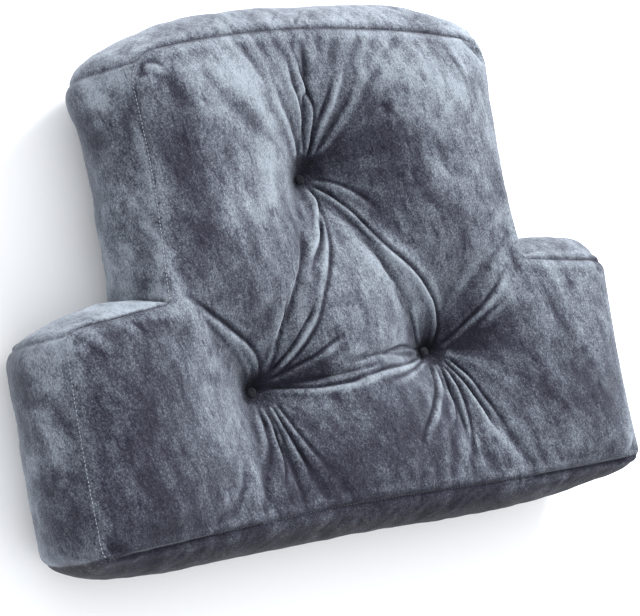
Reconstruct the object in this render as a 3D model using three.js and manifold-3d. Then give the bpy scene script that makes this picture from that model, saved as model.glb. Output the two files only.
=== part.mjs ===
// Lumbar support pillow: a boxed, stuffed velvet cushion in the outline of an upside-down T.
// A wide base with two low arms carries a tall middle block. Three buttons are pulled deep
// into the front panel, and gathers run from each button to its neighbours and to the edges.
//
// The cushion lies on its back: +X across the arms, +Y towards the top of the block, +Z out of
// the front panel. The origin is the centre of its footprint, on the surface it lies on.
// All sizes are millimetres.
import * as THREE from "three";
import { mergeVertices } from "three/addons/utils/BufferGeometryUtils.js";
import Module from "manifold-3d";

// Cut sizes, seam to seam
const ARM_SPAN = 568; // across both arms
const BLOCK_WIDTH = 376; // middle block
const SHOULDER = 184; // bottom seam to the arm tops
const BLOCK_TOP = 390; // bottom seam to the block's top corners
const BOXING = 104; // the strip between the front and back seams
const BACK_SEAM_LIFT = 12; // the back seam rides this far above the surface
const FRONT_SEAM = BACK_SEAM_LIFT + BOXING;

// How the stuffing and the sewing shape the outline
const TOP_ARCH = 20; // rise of the top edge between its corners
const BOTTOM_DRAW_IN = 3;
const BOTTOM_SKEW = 9; // the bottom edge hangs lower towards the right arm
const BLOCK_SIDE_DRAW_IN = { left: 8, right: 0.5 };
const SHOULDER_INNER_RISE = 5; // the arm tops fall away outwards
const SHOULDER_OUTER_DROP = 6;
const CORNER_RADIUS = { bottom: 8, shoulder: 14, top: 27 };

// How far the boxing bellies out at the middle and at the outer corners of each edge, and how
// much the front seam sags at the middle
const EDGE = {
  bottom: { belly: 29, cornerBelly: 11, sag: 12 },
  armSide: { belly: 17, cornerBelly: 9, sag: 4 },
  leftShoulder: { belly: 13, cornerBelly: 1, sag: 3 },
  rightShoulder: { belly: 29, cornerBelly: 14, sag: 3 },
  blockSide: { belly: 18, cornerBelly: 10, sag: 9 },
  top: { belly: 30, cornerBelly: 12, sag: 10 },
};

// Where the boxing is pushed out or drawn in further round an outer corner: sideways (+X) and
// upwards (+Y), fading over a reach from a point of the outline
const CORNER_PUSH = [
  { x: -188, y: 390, sideways: -15, upwards: -9, reach: 28 },
  { x: 188, y: 390, sideways: 7, upwards: 8, reach: 24 },
  { x: 110, y: 390, sideways: 0, upwards: 8, reach: 60 },
  { x: -284, y: 184, sideways: -5, upwards: -7, reach: 34 },
  { x: 284, y: 184, sideways: 3, upwards: 7, reach: 24 },
  { x: -284, y: 0, sideways: -3, upwards: 5, reach: 30 },
  { x: 284, y: 0, sideways: 8, upwards: -2, reach: 26 },
];

// Front panel
const FILL_RISE = 0.42; // how hard the stuffing pushes, as rise per cell of the panel
const BACK_ROUND = 34; // width of the rounded border of the back panel
const GATHER_HOLD = 0.55; // 1 is a hard crease along each gather, 0 leaves it to the stuffing
const CELL = 13; // size of one facet

// The three buttons
const TUFT_DEPTH = 54; // below the front seam
const BUTTON_RADIUS = 4.6;
const BUTTON_HEIGHT = 4.2;
const BUTTON_GAP = 0.4;
const TUFTS = {
  top: { x: -6, y: 285 },
  left: { x: -94, y: 109 },
  right: { x: 95, y: 120 },
};

// Gathers in the front panel: a line of pulled-down cloth from one point to another, with its
// depth below the front seam at each end and at its middle.
const GATHERS = [
  { from: "top", to: "left", depthStart: 54, depthMiddle: 27, depthEnd: 54 },
  { from: "top", to: "right", depthStart: 54, depthMiddle: 27, depthEnd: 54 },
  { from: "left", to: "right", depthStart: 54, depthMiddle: 32, depthEnd: 54 },
  { from: "top", to: { x: -30, y: 388 }, depthStart: 54, depthMiddle: 26, depthEnd: 16 },
  { from: "top", to: { x: 18, y: 388 }, depthStart: 54, depthMiddle: 27, depthEnd: 16 },
  { from: "left", to: { x: -178, y: 186 }, depthStart: 54, depthMiddle: 16, depthEnd: 3 },
  { from: "right", to: { x: 180, y: 186 }, depthStart: 54, depthMiddle: 16, depthEnd: 3 },
  { from: "left", to: { x: -70, y: 14 }, depthStart: 54, depthMiddle: 25, depthEnd: 14 },
  { from: "right", to: { x: 128, y: 12 }, depthStart: 54, depthMiddle: 25, depthEnd: 14 },
];

const halfArm = ARM_SPAN / 2;
const halfBlock = BLOCK_WIDTH / 2;

function spaced(from, to, size) {
  const n = Math.max(1, Math.round((to - from) / size));
  return Array.from({ length: n }, (_, i) => from + ((to - from) * i) / n);
}

// Columns and rows of the panel before stuffing
const columns = [
  ...spaced(-halfArm, -halfBlock, CELL),
  ...spaced(-halfBlock, halfBlock, CELL),
  ...spaced(halfBlock, halfArm, CELL),
  halfArm,
];
const rows = [
  ...spaced(0, SHOULDER, CELL),
  ...spaced(SHOULDER, BLOCK_TOP, CELL),
  BLOCK_TOP,
];
const firstBlockColumn = columns.indexOf(-halfBlock);
const lastBlockColumn = columns.indexOf(halfBlock);
const shoulderRow = rows.indexOf(SHOULDER);

const inCell = (i, j) =>
  i >= 0 &&
  j >= 0 &&
  i < columns.length - 1 &&
  j < rows.length - 1 &&
  (j < shoulderRow || (i >= firstBlockColumn && i < lastBlockColumn));
const inNode = (i, j) =>
  inCell(i, j) || inCell(i - 1, j) || inCell(i, j - 1) || inCell(i - 1, j - 1);
const onEdge = (i, j) =>
  inNode(i, j) &&
  !(inCell(i, j) && inCell(i - 1, j) && inCell(i, j - 1) && inCell(i - 1, j - 1));

// Rounds the outer corners: a square of cells becomes a quarter disc.
function roundCorner(u, v, cornerU, cornerV, radius) {
  const sideU = Math.sign(cornerU);
  const sideV = cornerV > 0 ? 1 : -1;
  const a = (Math.abs(u) - (Math.abs(cornerU) - radius)) / radius;
  const b = (sideV * (v - cornerV) + radius) / radius;
  if (a <= 0 || b <= 0 || Math.sign(u) !== sideU) return [u, v];
  const ra = a * Math.sqrt(1 - (b * b) / 2);
  const rb = b * Math.sqrt(1 - (a * a) / 2);
  return [
    sideU * (Math.abs(cornerU) - radius + ra * radius),
    cornerV + sideV * (rb - 1) * radius,
  ];
}

// Where a point of the cut panel lies once the cushion is stuffed, seen from the front
function stuffed(u0, v0) {
  let [u, v] = [u0, v0];
  for (const side of [-1, 1]) {
    if (v0 < SHOULDER / 2)
      [u, v] = roundCorner(u, v, side * halfArm, 0, CORNER_RADIUS.bottom);
    else if (v0 <= SHOULDER)
      [u, v] = roundCorner(u, v, side * halfArm, SHOULDER, CORNER_RADIUS.shoulder);
    else [u, v] = roundCorner(u, v, side * halfBlock, BLOCK_TOP, CORNER_RADIUS.top);
  }
  let x = u;
  let y = v;
  if (v <= SHOULDER) {
    const up = v / SHOULDER;
    const out = Math.max(0, (Math.abs(u) - halfBlock) / (halfArm - halfBlock));
    y += BOTTOM_DRAW_IN * (1 - (u / halfArm) ** 2) * (1 - up);
    y -= BOTTOM_SKEW * Math.max(0, (u - 20) / (halfArm - 20)) ** 1.1 * (1 - up);
    y += up * (SHOULDER_INNER_RISE * (1 - out) - SHOULDER_OUTER_DROP * out);
  } else {
    const up = (v - SHOULDER) / (BLOCK_TOP - SHOULDER);
    const drawIn = u < 0 ? BLOCK_SIDE_DRAW_IN.left : BLOCK_SIDE_DRAW_IN.right;
    x -= drawIn * (u / halfBlock) * Math.sin(Math.PI * up);
    y += SHOULDER_INNER_RISE * (1 - up);
    y += TOP_ARCH * (1 - (u / halfBlock) ** 2) * up ** 1.5;
  }
  return [x, y];
}

// How the boxing leaves the seam at a node of the outline. It stays full up to an outer corner,
// and flattens gently towards the inner corners below the block.
function edgeAt(i, j) {
  const u = columns[i];
  const v = rows[j];
  const shape = (edge, value, low, high, innerEnd) => {
    const t = Math.min(1, Math.max(0, (value - low) / (high - low)));
    const sag = edge.sag * Math.sin(Math.PI * t) ** 0.8;
    if (innerEnd !== undefined && t < 0.5 === (innerEnd === low))
      return { sag, belly: edge.belly * Math.sin(Math.PI * t) ** 0.8 };
    const full = Math.sin(Math.PI * t) ** 0.42;
    return { sag, belly: edge.cornerBelly + (edge.belly - edge.cornerBelly) * full };
  };
  if (j === 0) return shape(EDGE.bottom, u, -halfArm, halfArm);
  if (j === rows.length - 1) return shape(EDGE.top, u, -halfBlock, halfBlock);
  if (i === 0 || i === columns.length - 1) return shape(EDGE.armSide, v, 0, SHOULDER);
  if (j === shoulderRow) {
    const shoulder = u < 0 ? EDGE.leftShoulder : EDGE.rightShoulder;
    return shape(shoulder, Math.abs(u), halfBlock, halfArm, halfBlock);
  }
  return shape(EDGE.blockSide, v, SHOULDER, BLOCK_TOP, SHOULDER);
}

function cornerPush(u, v) {
  const push = new THREE.Vector2();
  for (const { x, y, sideways, upwards, reach } of CORNER_PUSH) {
    const share = Math.exp(-((u - x) ** 2 + (v - y) ** 2) / reach ** 2);
    push.x += sideways * share;
    push.y += upwards * share;
  }
  return push;
}

// Height of the front panel: cloth stretched over stuffing that pushes it up everywhere,
// held at the seam all round and along the gathers.
function frontHeights() {
  const point = (end) => (typeof end === "string" ? TUFTS[end] : end);
  const height = new Map();
  const held = new Set();
  const gathered = new Map();
  const key = (i, j) => i * 1000 + j;
  columns.forEach((_, i) =>
    rows.forEach((_, j) => {
      if (!inNode(i, j)) return;
      if (onEdge(i, j)) {
        const edge = edgeAt(i, j);
        height.set(key(i, j), -edge.sag);
        held.add(key(i, j));
      } else height.set(key(i, j), 0);
    }),
  );
  for (const gather of GATHERS) {
    const a = point(gather.from);
    const b = point(gather.to);
    const steps = 2 * Math.ceil(Math.hypot(b.x - a.x, b.y - a.y) / CELL);
    for (let n = 0; n <= steps; n++) {
      const t = n / steps;
      const x = a.x + (b.x - a.x) * t;
      const y = a.y + (b.y - a.y) * t;
      const i = nearest(columns, x);
      const j = nearest(rows, y);
      if (!inNode(i, j) || onEdge(i, j)) continue;
      const line = gather.depthStart * (1 - t) + gather.depthEnd * t;
      const ease = 4 * t * (1 - t);
      const straightMiddle = (gather.depthStart + gather.depthEnd) / 2;
      const depth = line - (straightMiddle - gather.depthMiddle) * Math.sqrt(ease);
      gathered.set(key(i, j), Math.min(gathered.get(key(i, j)) ?? 0, -depth));
    }
  }
  for (const { x, y } of Object.values(TUFTS)) {
    const k = key(nearest(columns, x), nearest(rows, y));
    height.set(k, -TUFT_DEPTH);
    held.add(k);
  }
  for (let round = 0; round < 600; round++)
    for (let i = 0; i < columns.length; i++)
      for (let j = 0; j < rows.length; j++) {
        const k = key(i, j);
        if (!height.has(k) || held.has(k)) continue;
        const around =
          height.get(key(i - 1, j)) +
          height.get(key(i + 1, j)) +
          height.get(key(i, j - 1)) +
          height.get(key(i, j + 1));
        const free = around / 4 + FILL_RISE;
        const goal = gathered.has(k)
          ? free + GATHER_HOLD * (gathered.get(k) - free)
          : free;
        height.set(k, height.get(k) + 1.5 * (goal - height.get(k)));
      }
  return (i, j) => height.get(key(i, j));
}

function nearest(list, value) {
  return list.reduce(
    (best, item, n) => (Math.abs(item - value) < Math.abs(list[best] - value) ? n : best),
    0,
  );
}

// Shortest way from a point of the cut panel to its seam
function toSeam(u, v) {
  const side = halfArm - Math.abs(u);
  if (v > SHOULDER) return Math.min(BLOCK_TOP - v, halfBlock - Math.abs(u));
  const notch =
    Math.abs(u) > halfBlock
      ? SHOULDER - v
      : Math.hypot(halfBlock - Math.abs(u), SHOULDER - v);
  return Math.min(side, v, notch);
}

function backHeight(u, v) {
  const rounding = Math.max(0, 1 - toSeam(u, v) / BACK_ROUND);
  return BACK_SEAM_LIFT * rounding ** 2;
}

function cushionGeometry() {
  const frontHeight = frontHeights();
  const rings = Math.round((BOXING + 40) / CELL / 1.6);
  const positions = [];
  const triangles = [];
  const front = new Map();
  const back = new Map();
  const key = (i, j) => i * 1000 + j;
  const add = (x, y, z) => positions.push([x, y, z]) - 1;
  columns.forEach((u, i) =>
    rows.forEach((v, j) => {
      if (!inNode(i, j)) return;
      const [x, y] = stuffed(u, v);
      const tuft = Object.values(TUFTS).find(
        (t) => i === nearest(columns, t.x) && j === nearest(rows, t.y),
      );
      if (tuft) {
        front.set(key(i, j), add(tuft.x, tuft.y, FRONT_SEAM - TUFT_DEPTH));
        back.set(key(i, j), add(x, y, backHeight(u, v)));
        return;
      }
      front.set(key(i, j), add(x, y, FRONT_SEAM + frontHeight(i, j)));
      back.set(key(i, j), add(x, y, backHeight(u, v)));
    }),
  );
  const quad = (a, b, c, d) => triangles.push([a, b, c], [a, c, d]);
  const sides = [];
  for (let i = 0; i < columns.length - 1; i++)
    for (let j = 0; j < rows.length - 1; j++) {
      if (!inCell(i, j)) continue;
      const corners = [
        [i, j],
        [i + 1, j],
        [i + 1, j + 1],
        [i, j + 1],
      ];
      quad(...corners.map(([a, b]) => front.get(key(a, b))));
      quad(...corners.map(([a, b]) => back.get(key(a, b))).reverse());
      const across = [
        [i, j - 1],
        [i + 1, j],
        [i, j + 1],
        [i - 1, j],
      ];
      across.forEach(([a, b], n) => {
        if (!inCell(a, b)) sides.push([corners[n], corners[(n + 1) % 4]]);
      });
    }
  // Outward direction at each node of the seam, from the two lengths of seam that meet there
  const outward = new Map();
  for (const [p, q] of sides) {
    const [px, py] = positions[front.get(key(...p))];
    const [qx, qy] = positions[front.get(key(...q))];
    const length = Math.hypot(qx - px, qy - py);
    for (const n of [p, q]) {
      const sum = outward.get(key(...n)) ?? new THREE.Vector2();
      outward.set(key(...n), sum.add(new THREE.Vector2((qy - py) / length, (px - qx) / length)));
    }
  }
  // The boxing strip, ring by ring, from the front seam to the back seam
  const boxing = new Map();
  const ringNode = (n, ring) => {
    if (ring === 0) return front.get(key(...n));
    if (ring === rings) return back.get(key(...n));
    const id = key(...n) * 100 + ring;
    if (!boxing.has(id)) {
      const t = ring / rings;
      const top = positions[front.get(key(...n))];
      const bottom = positions[back.get(key(...n))];
      const edge = edgeAt(...n);
      const swell = Math.sin(Math.PI * t) ** 0.8;
      const belly = edge.belly * swell;
      const direction = outward.get(key(...n)).clone().normalize();
      const push = cornerPush(columns[n[0]], rows[n[1]]).multiplyScalar(swell);
      boxing.set(
        id,
        add(
          top[0] + direction.x * belly + push.x,
          top[1] + direction.y * belly + push.y,
          top[2] + (bottom[2] - top[2]) * t,
        ),
      );
    }
    return boxing.get(id);
  };
  for (const [p, q] of sides)
    for (let ring = 0; ring < rings; ring++)
      quad(ringNode(q, ring), ringNode(p, ring), ringNode(p, ring + 1), ringNode(q, ring + 1));
  const geometry = new THREE.BufferGeometry();
  geometry.setAttribute("position", new THREE.Float32BufferAttribute(positions.flat(), 3));
  geometry.setIndex(triangles.flat());
  return geometry;
}

const wasm = await Module();
wasm.setup();

function solid(geometry) {
  const bare = geometry.clone();
  bare.deleteAttribute("normal");
  bare.deleteAttribute("uv");
  const merged = mergeVertices(bare, 1e-4);
  return new wasm.Manifold(
    new wasm.Mesh({
      numProp: 3,
      vertProperties: new Float32Array(merged.attributes.position.array),
      triVerts: new Uint32Array(merged.index.array),
    }),
  );
}

function geometryOf(manifold) {
  const mesh = manifold.getMesh();
  const geometry = new THREE.BufferGeometry();
  geometry.setAttribute("position", new THREE.BufferAttribute(mesh.vertProperties, 3));
  geometry.setIndex(new THREE.BufferAttribute(mesh.triVerts, 1));
  geometry.computeVertexNormals();
  return geometry;
}

// Centres the footprint on the origin
const cushion = cushionGeometry();
cushion.computeBoundingBox();
const box = cushion.boundingBox;
const shiftX = -(box.min.x + box.max.x) / 2;
const shiftY = -(box.min.y + box.max.y) / 2;
cushion.translate(shiftX, shiftY, 0);

// Each button sits at the bottom of a round well that the pull of its thread leaves open.
let body = solid(cushion);
const wellFloor = FRONT_SEAM - TUFT_DEPTH;
for (const tuft of Object.values(TUFTS)) {
  const depth = TUFT_DEPTH + 20;
  const well = new THREE.CylinderGeometry(
    BUTTON_RADIUS + BUTTON_GAP,
    BUTTON_RADIUS + BUTTON_GAP,
    depth,
    28,
  )
    .rotateX(Math.PI / 2)
    .translate(tuft.x + shiftX, tuft.y + shiftY, wellFloor + depth / 2);
  body = body.subtract(solid(well));
}

const velvet = new THREE.MeshStandardMaterial({
  color: new THREE.Color(0.2, 0.22, 0.28),
  roughness: 0.85,
  metalness: 0,
});
const coveredButton = new THREE.MeshStandardMaterial({
  color: new THREE.Color(0.13, 0.14, 0.18),
  roughness: 0.8,
  metalness: 0,
});

const pillow = new THREE.Group();
const cushionBody = new THREE.Mesh(geometryOf(body), velvet);
cushionBody.name = "cushion_body";
pillow.add(cushionBody);

// A cloth-covered button: domed face, rolled rim, flat back
const buttonProfile = [
  [0, 0],
  [BUTTON_RADIUS * 0.78, 0],
  [BUTTON_RADIUS * 0.96, BUTTON_HEIGHT * 0.16],
  [BUTTON_RADIUS, BUTTON_HEIGHT * 0.38],
  [BUTTON_RADIUS * 0.93, BUTTON_HEIGHT * 0.6],
  [BUTTON_RADIUS * 0.72, BUTTON_HEIGHT * 0.82],
  [BUTTON_RADIUS * 0.4, BUTTON_HEIGHT * 0.95],
  [0, BUTTON_HEIGHT],
].map(([r, h]) => new THREE.Vector2(r, h));
for (const [name, tuft] of Object.entries(TUFTS)) {
  const button = new THREE.Mesh(
    new THREE.LatheGeometry(buttonProfile, 28).rotateX(Math.PI / 2),
    coveredButton,
  );
  button.name = `tuft_button_${name}`;
  button.position.set(tuft.x + shiftX, tuft.y + shiftY, wellFloor + BUTTON_GAP);
  pillow.add(button);
}

export default pillow;
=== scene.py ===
import math

import bpy
import numpy as np
from mathutils import Matrix, Vector


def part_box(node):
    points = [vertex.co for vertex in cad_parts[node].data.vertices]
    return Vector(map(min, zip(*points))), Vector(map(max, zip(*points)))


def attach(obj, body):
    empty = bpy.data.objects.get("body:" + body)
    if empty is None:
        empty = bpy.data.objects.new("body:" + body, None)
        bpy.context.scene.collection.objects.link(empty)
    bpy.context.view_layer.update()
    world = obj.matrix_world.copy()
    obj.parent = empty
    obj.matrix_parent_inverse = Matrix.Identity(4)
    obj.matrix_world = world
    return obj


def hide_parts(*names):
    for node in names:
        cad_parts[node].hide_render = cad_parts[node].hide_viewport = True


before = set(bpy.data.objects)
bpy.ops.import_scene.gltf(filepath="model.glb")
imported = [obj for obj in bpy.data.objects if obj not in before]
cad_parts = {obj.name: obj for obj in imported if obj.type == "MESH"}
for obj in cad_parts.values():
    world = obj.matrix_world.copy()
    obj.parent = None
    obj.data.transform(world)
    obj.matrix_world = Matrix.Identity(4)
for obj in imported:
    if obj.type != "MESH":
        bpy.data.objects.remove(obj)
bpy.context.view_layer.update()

MM = 0.001

# ---------------------------------------------------------------- the cut pattern, in millimetres
# u runs across the arms, v up from the bottom seam. They are where a point of the cover was cut.
ARM_SPAN = 568.0
BLOCK_WIDTH = 376.0
SHOULDER = 184.0
BLOCK_TOP = 390.0
BOXING = 104.0
BACK_SEAM_LIFT = 12.0
FRONT_SEAM = BACK_SEAM_LIFT + BOXING
TOP_ARCH = 20.0
BOTTOM_DRAW_IN = 3.0
BLOCK_SIDE_DRAW_IN = {"left": 10.0, "right": 0.5}
SHOULDER_INNER_RISE = 5.0
SHOULDER_OUTER_DROP = 6.0
RADIUS_BOTTOM = 8.0
RADIUS_SHOULDER = 14.0
RADIUS_TOP = 27.0
BACK_ROUND = 34.0
TUFT_DEPTH = 54.0
# How far the boxing bellies out at the middle and the outer corners of each edge, and the sag of its seam
EDGE_BOTTOM = (27.0, 11.0, 12.0)
EDGE_ARM_SIDE = (17.0, 9.0, 4.0)
EDGE_SHOULDER_LEFT = (13.0, 1.0, 3.0)
EDGE_SHOULDER_RIGHT = (26.5, 14.0, 3.0)
EDGE_BLOCK_SIDE = (23.0, 10.0, 9.0)
EDGE_TOP = (30.0, 12.0, 10.0)
TUFTS = {"top": (-6.0, 285.0), "left": (-94.0, 109.0), "right": (95.0, 120.0)}
BUTTON_RADIUS = 4.6
BUTTON_HEIGHT = 4.2
# How far the bottom seam hangs lower towards the right arm
BOTTOM_SKEW = 9.0
# and how far the front panel hangs over it between the middle and the right arm
BOTTOM_HANG = 4.5
# Each outer corner of the boxing is pushed sideways and upwards by this much more over a reach, so that it stays pointed
CORNER_PUSH = [
    # u, v, sideways, upwards, reach
    (-188.0, 390.0, -18.0, -9.0, 28.0),
    (-150.0, 390.0, 0.0, -5.0, 30.0),
    (188.0, 390.0, 9.0, 10.0, 24.0),
    (120.0, 390.0, 0.0, 10.0, 60.0),
    (-284.0, 184.0, -5.0, -7.0, 34.0),
    (284.0, 184.0, 3.0, 7.0, 24.0),
    (-284.0, 0.0, -3.0, 5.0, 30.0),
    (284.0, 0.0, 6.0, 2.0, 26.0),
    (250.0, 0.0, 0.0, 3.0, 30.0),
]

CELL = 6.0  # cloth cell
FRAMES = 40  # simulation steps

HALF_ARM = ARM_SPAN / 2
HALF_BLOCK = BLOCK_WIDTH / 2

# The footprint's centre is the origin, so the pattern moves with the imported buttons.
low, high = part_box("tuft_button_top")
SHIFT_X = (low[0] + high[0]) / 2 / MM - TUFTS["top"][0]
SHIFT_Y = (low[1] + high[1]) / 2 / MM - TUFTS["top"][1]


def spaced(a, b, size):
    n = max(1, round((b - a) / size))
    return [a + (b - a) * i / n for i in range(n)]


COLUMNS = spaced(-HALF_ARM, -HALF_BLOCK, CELL) + spaced(-HALF_BLOCK, HALF_BLOCK, CELL) + spaced(HALF_BLOCK, HALF_ARM, CELL) + [HALF_ARM]
ROWS = spaced(0.0, SHOULDER, CELL) + spaced(SHOULDER, BLOCK_TOP, CELL) + [BLOCK_TOP]
C0 = COLUMNS.index(-HALF_BLOCK)
C1 = COLUMNS.index(HALF_BLOCK)
R0 = ROWS.index(SHOULDER)


def in_cell(i, j):
    if not (0 <= i < len(COLUMNS) - 1 and 0 <= j < len(ROWS) - 1):
        return False
    return j < R0 or C0 <= i < C1


def in_node(i, j):
    return in_cell(i, j) or in_cell(i - 1, j) or in_cell(i, j - 1) or in_cell(i - 1, j - 1)


def round_corner(u, v, cu, cv, radius):
    su = math.copysign(1, cu)
    sv = 1 if cv > 0 else -1
    if math.copysign(1, u) != su:
        return u, v
    a = (abs(u) - (abs(cu) - radius)) / radius
    b = (sv * (v - cv) + radius) / radius
    if a <= 0 or b <= 0:
        return u, v
    ra = a * math.sqrt(1 - b * b / 2)
    rb = b * math.sqrt(1 - a * a / 2)
    return su * (abs(cu) - radius + ra * radius), cv + sv * (rb - 1) * radius


def outline(u0, v0):
    """Where a point of the cut panel lies in plan once its edges are sewn."""
    u, v = u0, v0
    for side in (-1, 1):
        if v0 < SHOULDER / 2:
            u, v = round_corner(u, v, side * HALF_ARM, 0, RADIUS_BOTTOM)
        elif v0 <= SHOULDER:
            u, v = round_corner(u, v, side * HALF_ARM, SHOULDER, RADIUS_SHOULDER)
        else:
            u, v = round_corner(u, v, side * HALF_BLOCK, BLOCK_TOP, RADIUS_TOP)
    x, y = u, v
    if v <= SHOULDER:
        up = v / SHOULDER
        out = max(0.0, (abs(u) - HALF_BLOCK) / (HALF_ARM - HALF_BLOCK))
        y += BOTTOM_DRAW_IN * (1 - (u / HALF_ARM) ** 2) * (1 - up)
        y -= BOTTOM_SKEW * max(0.0, (u - 20) / (HALF_ARM - 20)) ** 1.1 * (1 - up)
        y -= BOTTOM_HANG * math.sin(math.pi * max(0.0, (u + 60) / (HALF_ARM + 60))) * (1 - up) ** 2
        y += up * (SHOULDER_INNER_RISE * (1 - out) - SHOULDER_OUTER_DROP * out)
    else:
        up = (v - SHOULDER) / (BLOCK_TOP - SHOULDER)
        x -= BLOCK_SIDE_DRAW_IN["left" if u < 0 else "right"] * (u / HALF_BLOCK) * math.sin(math.pi * up)
        y += SHOULDER_INNER_RISE * (1 - up)
        y += TOP_ARCH * (1 - (u / HALF_BLOCK) ** 2) * up**1.5
    return x, y


def to_seam(u, v):
    """Distance from a point of a panel to its seam, in the pattern. Works on arrays."""
    u, v = np.abs(np.asarray(u, float)), np.asarray(v, float)
    notch = np.where(u > HALF_BLOCK, SHOULDER - v, np.hypot(HALF_BLOCK - u, SHOULDER - v))
    low_part = np.minimum(np.minimum(HALF_ARM - u, v), notch)
    high_part = np.minimum(BLOCK_TOP - v, HALF_BLOCK - u)
    return np.maximum(0.0, np.where(v > SHOULDER, high_part, low_part))


def back_height(u, v):
    rounding = max(0.0, 1 - float(to_seam(u, v)) / BACK_ROUND)
    return BACK_SEAM_LIFT * rounding**2


def edge_shape(i, j):
    """(belly, sag) of the boxing at a node of the rim. It stays full up to an outer corner, and flattens gently towards an inner one."""
    u, v = COLUMNS[i], ROWS[j]
    inner = None
    if j == 0:
        edge, value, low, high = EDGE_BOTTOM, u, -HALF_ARM, HALF_ARM
    elif j == len(ROWS) - 1:
        edge, value, low, high = EDGE_TOP, u, -HALF_BLOCK, HALF_BLOCK
    elif i in (0, len(COLUMNS) - 1):
        edge, value, low, high = EDGE_ARM_SIDE, v, 0.0, SHOULDER
    elif j == R0:
        edge, value, low, high = (EDGE_SHOULDER_LEFT if u < 0 else EDGE_SHOULDER_RIGHT), abs(u), HALF_BLOCK, HALF_ARM
        inner = low
    else:
        edge, value, low, high = EDGE_BLOCK_SIDE, v, SHOULDER, BLOCK_TOP
        inner = low
    t = min(1.0, max(0.0, (value - low) / (high - low)))
    arc = math.sin(math.pi * t) if 0 < t < 1 else 0.0
    belly, corner, sag = edge
    if inner is not None and t < 0.5:
        return belly * arc**0.8, sag * arc**0.8
    return corner + (belly - corner) * arc**0.42, sag * arc**0.8


def corner_push(u, v):
    x = y = 0.0
    for cu, cv, px, py, reach in CORNER_PUSH:
        w = math.exp(-((u - cu) ** 2 + (v - cv) ** 2) / reach**2)
        x, y = x + px * w, y + py * w
    return x, y


# ---------------------------------------------------------------- the sewn cover before it is filled
PANEL_FRONT, PANEL_BOXING, PANEL_BACK = 0, 1, 2
RINGS = 14


def front_sag(u, v):
    return 7.0


def sewn_cover():
    verts, faces, panels, pattern, ring_of = [], [], [], [], []
    index = {}

    def add(key, xyz, uv, ring):
        if key not in index:
            index[key] = len(verts)
            verts.append(xyz)
            pattern.append(uv)
            ring_of.append(ring)
        return index[key]

    plan = {}
    for j, v in enumerate(ROWS):
        for i, u in enumerate(COLUMNS):
            if in_node(i, j):
                x, y = outline(u, v)
                plan[i, j] = (x + SHIFT_X, y + SHIFT_Y)
                edge = not all(in_cell(i - a, j - b) for a in (0, 1) for b in (0, 1))
                add(("f", i, j), (*plan[i, j], FRONT_SEAM - (edge_shape(i, j)[1] if edge else front_sag(u, v))), (u, v), 0.0)
    for j, v in enumerate(ROWS):
        for i, u in enumerate(COLUMNS):
            if in_node(i, j):
                add(("b", i, j), (*plan[i, j], back_height(u, v)), (u, v), 1.0)
    rim = []
    for j in range(len(ROWS) - 1):
        for i in range(len(COLUMNS) - 1):
            if not in_cell(i, j):
                continue
            c = [(i, j), (i + 1, j), (i + 1, j + 1), (i, j + 1)]
            faces.append([index[("f", *n)] for n in c])
            panels.append(PANEL_FRONT)
            faces.append([index[("b", *n)] for n in reversed(c)])
            panels.append(PANEL_BACK)
            for k, (a, b) in enumerate([(i, j - 1), (i + 1, j), (i, j + 1), (i - 1, j)]):
                if not in_cell(a, b):
                    rim.append((c[k], c[(k + 1) % 4]))
    # walk the rim once round, for the distance along the seam
    following = dict(rim)
    start = (len(COLUMNS) - 1, 8)
    along, n, total = {}, start, 0.0
    while True:
        along[n] = total
        m = following[n]
        total += math.dist(plan[n], plan[m])
        n = m
        if n == start:
            break

    outward = {}
    for p, q in rim:
        (px, py), (qx, qy) = plan[p], plan[q]
        length = math.hypot(qx - px, qy - py)
        for n in (p, q):
            ox, oy = outward.get(n, (0.0, 0.0))
            outward[n] = (ox + (qy - py) / length, oy - (qx - px) / length)

    def boxing_vertex(n, k):
        if k == 0:
            return index[("f", *n)]
        if k == RINGS:
            return index[("b", *n)]
        t = k / RINGS
        u, v = COLUMNS[n[0]], ROWS[n[1]]
        belly, sag = edge_shape(*n)
        top = FRONT_SEAM - sag
        z = top + (back_height(u, v) - top) * t
        swell = math.sin(math.pi * t) ** 0.8
        out = belly * swell / math.hypot(*outward[n])
        x, y = plan[n]
        px, py = corner_push(u, v)
        return add(("s", *n, k), (x + outward[n][0] * out + px * swell, y + outward[n][1] * out + py * swell, z), (u, v), t)

    for p, q in rim:
        for k in range(RINGS):
            faces.append([boxing_vertex(p, k + 1), boxing_vertex(q, k + 1), boxing_vertex(q, k), boxing_vertex(p, k)])
            panels.append(PANEL_BOXING)
    seam_at = np.zeros(len(verts))
    for key, v in index.items():
        n = key[1:3]
        if n in along:
            seam_at[v] = along[n]
    return index, np.array(verts), faces, panels, np.array(pattern), np.array(ring_of), seam_at, rim, total


index, rest, faces, panels, pattern, ring_of, seam_at, rim, SEAM_LENGTH = sewn_cover()


def mesh_object(name, co_mm, polys):
    mesh = bpy.data.meshes.new(name)
    mesh.from_pydata((np.asarray(co_mm) * MM).tolist(), [], [list(map(int, f)) for f in polys])
    mesh.update()
    obj = bpy.data.objects.new(name, mesh)
    bpy.context.scene.collection.objects.link(obj)
    return obj


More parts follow.
